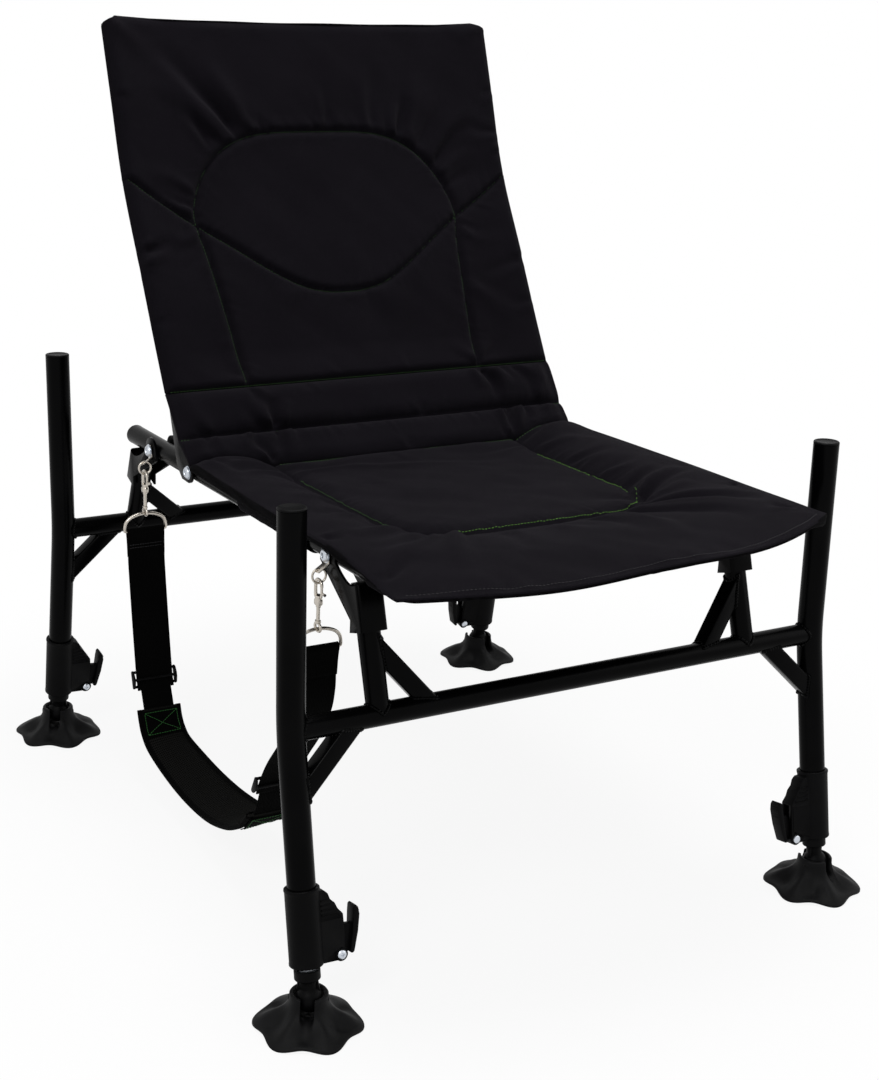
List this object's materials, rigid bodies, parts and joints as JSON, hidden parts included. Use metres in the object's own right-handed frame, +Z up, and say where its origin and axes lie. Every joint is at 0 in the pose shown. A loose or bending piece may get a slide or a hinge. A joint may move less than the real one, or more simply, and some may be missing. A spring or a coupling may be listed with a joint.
{
  "type": "folding carp fishing chair",
  "caption": "Low folding fishing chair with a quilted seat and reclined backrest, folding leg frames, telescopic clamp legs, swivelling mud feet and a side carrying strap.",
  "frame": {"origin": "on the ground, below the middle of the outer size", "axes": "+Z up, the front of the seat faces -Y, +X is the side that is on the viewer's right when seen from the front"},
  "size_m": [0.798, 0.9266, 0.9645],
  "materials": {
    "cover": "fine woven polyester",
    "frame_paint": "satin black powder coat",
    "plastic": "matt moulded",
    "webbing": "ribbed webbing",
    "zinc": "zinc plated",
    "nickel": "nickel plated"
  },
  "bodies": {
    "seat": {"seat_frame": "frame_paint", "seat_pad": "cover", "lumbar_roll": "cover", "strap_tab_front": "nickel", "strap_tab_rear": "nickel", "pivot_bolt_front_left": "zinc", "pivot_bolt_front_right": "zinc", "pivot_bolt_rear_left": "zinc", "pivot_bolt_rear_right": "zinc"},
    "backrest": {"backrest_frame": "frame_paint", "backrest_pad": "cover", "backrest_hinge_left": "frame_paint", "backrest_hinge_right": "frame_paint", "backrest_bolt_left": "zinc", "backrest_bolt_right": "zinc"},
    "front_legs": {"front_leg_frame": "frame_paint", "leg_bracket_front_left": "frame_paint", "leg_cap_front_left": "plastic", "clamp_collar_front_left": "plastic", "lever_pin_front_left": "zinc", "leg_bracket_front_right": "frame_paint", "leg_cap_front_right": "plastic", "clamp_collar_front_right": "plastic", "lever_pin_front_right": "zinc"},
    "rear_legs": {"rear_leg_frame": "frame_paint", "leg_bracket_rear_left": "frame_paint", "leg_cap_rear_left": "plastic", "clamp_collar_rear_left": "plastic", "lever_pin_rear_left": "zinc", "leg_bracket_rear_right": "frame_paint", "leg_cap_rear_right": "plastic", "clamp_collar_rear_right": "plastic", "lever_pin_rear_right": "zinc"},
    "lever_front_left": {"clamp_lever_front_left": "plastic"},
    "inner_front_left": {"inner_leg_front_left": "zinc"},
    "stud_front_left": {"ball_stud_front_left": "plastic"},
    "mud_foot_front_left": {"foot_front_left": "plastic"},
    "lever_front_right": {"clamp_lever_front_right": "plastic"},
    "inner_front_right": {"inner_leg_front_right": "zinc"},
    "stud_front_right": {"ball_stud_front_right": "plastic"},
    "mud_foot_front_right": {"foot_front_right": "plastic"},
    "lever_rear_left": {"clamp_lever_rear_left": "plastic"},
    "inner_rear_left": {"inner_leg_rear_left": "zinc"},
    "stud_rear_left": {"ball_stud_rear_left": "plastic"},
    "mud_foot_rear_left": {"foot_rear_left": "plastic"},
    "lever_rear_right": {"clamp_lever_rear_right": "plastic"},
    "inner_rear_right": {"inner_leg_rear_right": "zinc"},
    "stud_rear_right": {"ball_stud_rear_right": "plastic"},
    "mud_foot_rear_right": {"foot_rear_right": "plastic"},
    "strap": {"strap_ring_front": "nickel", "strap_ring_rear": "nickel", "snap_hook_front": "nickel", "snap_hook_rear": "nickel", "strap_dring_front": "nickel", "strap_dring_rear": "nickel", "strap_webbing_front": "webbing", "strap_webbing_rear": "webbing", "strap_slide_front": "plastic", "strap_slide_rear": "plastic", "strap_pad": "webbing"}
  },
  "joints": [
    {"name": "front_fold", "type": "hinge", "parent": "seat", "child": "front_legs", "pos_m": [0, -0.2303, 0.45633], "axis": [1, 0, 0], "range_deg": [0, 75], "deforming": ["strap_webbing_front", "strap_dring_front", "strap_pad"]},
    {"name": "rear_fold", "type": "hinge", "parent": "seat", "child": "rear_legs", "pos_m": [0, 0.2727, 0.4356], "axis": [-1, 0, 0], "range_deg": [0, 108], "deforming": ["strap_webbing_rear", "strap_dring_rear"]},
    {"name": "backrest_fold", "type": "hinge", "parent": "seat", "child": "backrest", "pos_m": [0, 0.1487, 0.44071], "axis": [1, 0, 0], "range_deg": [0, 78], "deforming": ["lumbar_roll"]},
    {"name": "leg_extend_front_left", "type": "slide", "parent": "front_legs", "child": "inner_front_left", "axis": [0, 0.1985, 0.9801], "range_m": [-0.12, 0]},
    {"name": "lever_open_front_left", "type": "hinge", "parent": "front_legs", "child": "lever_front_left", "pos_m": [-0.305, -0.37329, 0.07298], "axis": [0, -0.9801, 0.1985], "range_deg": [-95, 0]},
    {"name": "foot_turn_front_left", "type": "hinge", "parent": "inner_front_left", "child": "stud_front_left", "pos_m": [-0.341, -0.38149, 0.0325], "axis": [0, 0.1985, 0.9801], "continuous": true},
    {"name": "foot_tilt_front_left", "type": "hinge", "parent": "stud_front_left", "child": "mud_foot_front_left", "pos_m": [-0.341, -0.38149, 0.0325], "axis": [1, 0, 0], "range_deg": [-25, 25]},
    {"name": "leg_extend_front_right", "type": "slide", "parent": "front_legs", "child": "inner_front_right", "axis": [0, 0.1985, 0.9801], "range_m": [-0.12, 0]},
    {"name": "lever_open_front_right", "type": "hinge", "parent": "front_legs", "child": "lever_front_right", "pos_m": [0.305, -0.37408, 0.06906], "axis": [0, 0.9801, -0.1985], "range_deg": [-95, 0]},
    {"name": "foot_turn_front_right", "type": "hinge", "parent": "inner_front_right", "child": "stud_front_right", "pos_m": [0.341, -0.38149, 0.0325], "axis": [0, 0.1985, 0.9801], "continuous": true},
    {"name": "foot_tilt_front_right", "type": "hinge", "parent": "stud_front_right", "child": "mud_foot_front_right", "pos_m": [0.341, -0.38149, 0.0325], "axis": [1, 0, 0], "range_deg": [-25, 25]},
    {"name": "leg_extend_rear_left", "type": "slide", "parent": "rear_legs", "child": "inner_rear_left", "axis": [0, -0.1409, 0.99], "range_m": [-0.12, 0]},
    {"name": "lever_open_rear_left", "type": "hinge", "parent": "rear_legs", "child": "lever_rear_left", "pos_m": [-0.305, 0.40492, 0.06943], "axis": [0, -0.99, -0.1409], "range_deg": [-95, 0]},
    {"name": "foot_turn_rear_left", "type": "hinge", "parent": "inner_rear_left", "child": "stud_rear_left", "pos_m": [-0.341, 0.41018, 0.0325], "axis": [0, -0.1409, 0.99], "continuous": true},
    {"name": "foot_tilt_rear_left", "type": "hinge", "parent": "stud_rear_left", "child": "mud_foot_rear_left", "pos_m": [-0.341, 0.41018, 0.0325], "axis": [1, 0, 0], "range_deg": [-25, 25]},
    {"name": "leg_extend_rear_right", "type": "slide", "parent": "rear_legs", "child": "inner_rear_right", "axis": [0, -0.1409, 0.99], "range_m": [-0.12, 0]},
    {"name": "lever_open_rear_right", "type": "hinge", "parent": "rear_legs", "child": "lever_rear_right", "pos_m": [0.305, 0.40492, 0.06943], "axis": [0, 0.99, 0.1409], "range_deg": [-95, 0]},
    {"name": "foot_turn_rear_right", "type": "hinge", "parent": "inner_rear_right", "child": "stud_rear_right", "pos_m": [0.341, 0.41018, 0.0325], "axis": [0, -0.1409, 0.99], "continuous": true},
    {"name": "foot_tilt_rear_right", "type": "hinge", "parent": "stud_rear_right", "child": "mud_foot_rear_right", "pos_m": [0.341, 0.41018, 0.0325], "axis": [1, 0, 0], "range_deg": [-25, 25]},
    {"name": "strap_swing", "type": "hinge", "parent": "seat", "child": "strap", "pos_m": [-0.2666, 0.01741, 0.42516], "axis": [0, 0.9992, -0.0392], "range_deg": [-60, 0]}
  ]
}
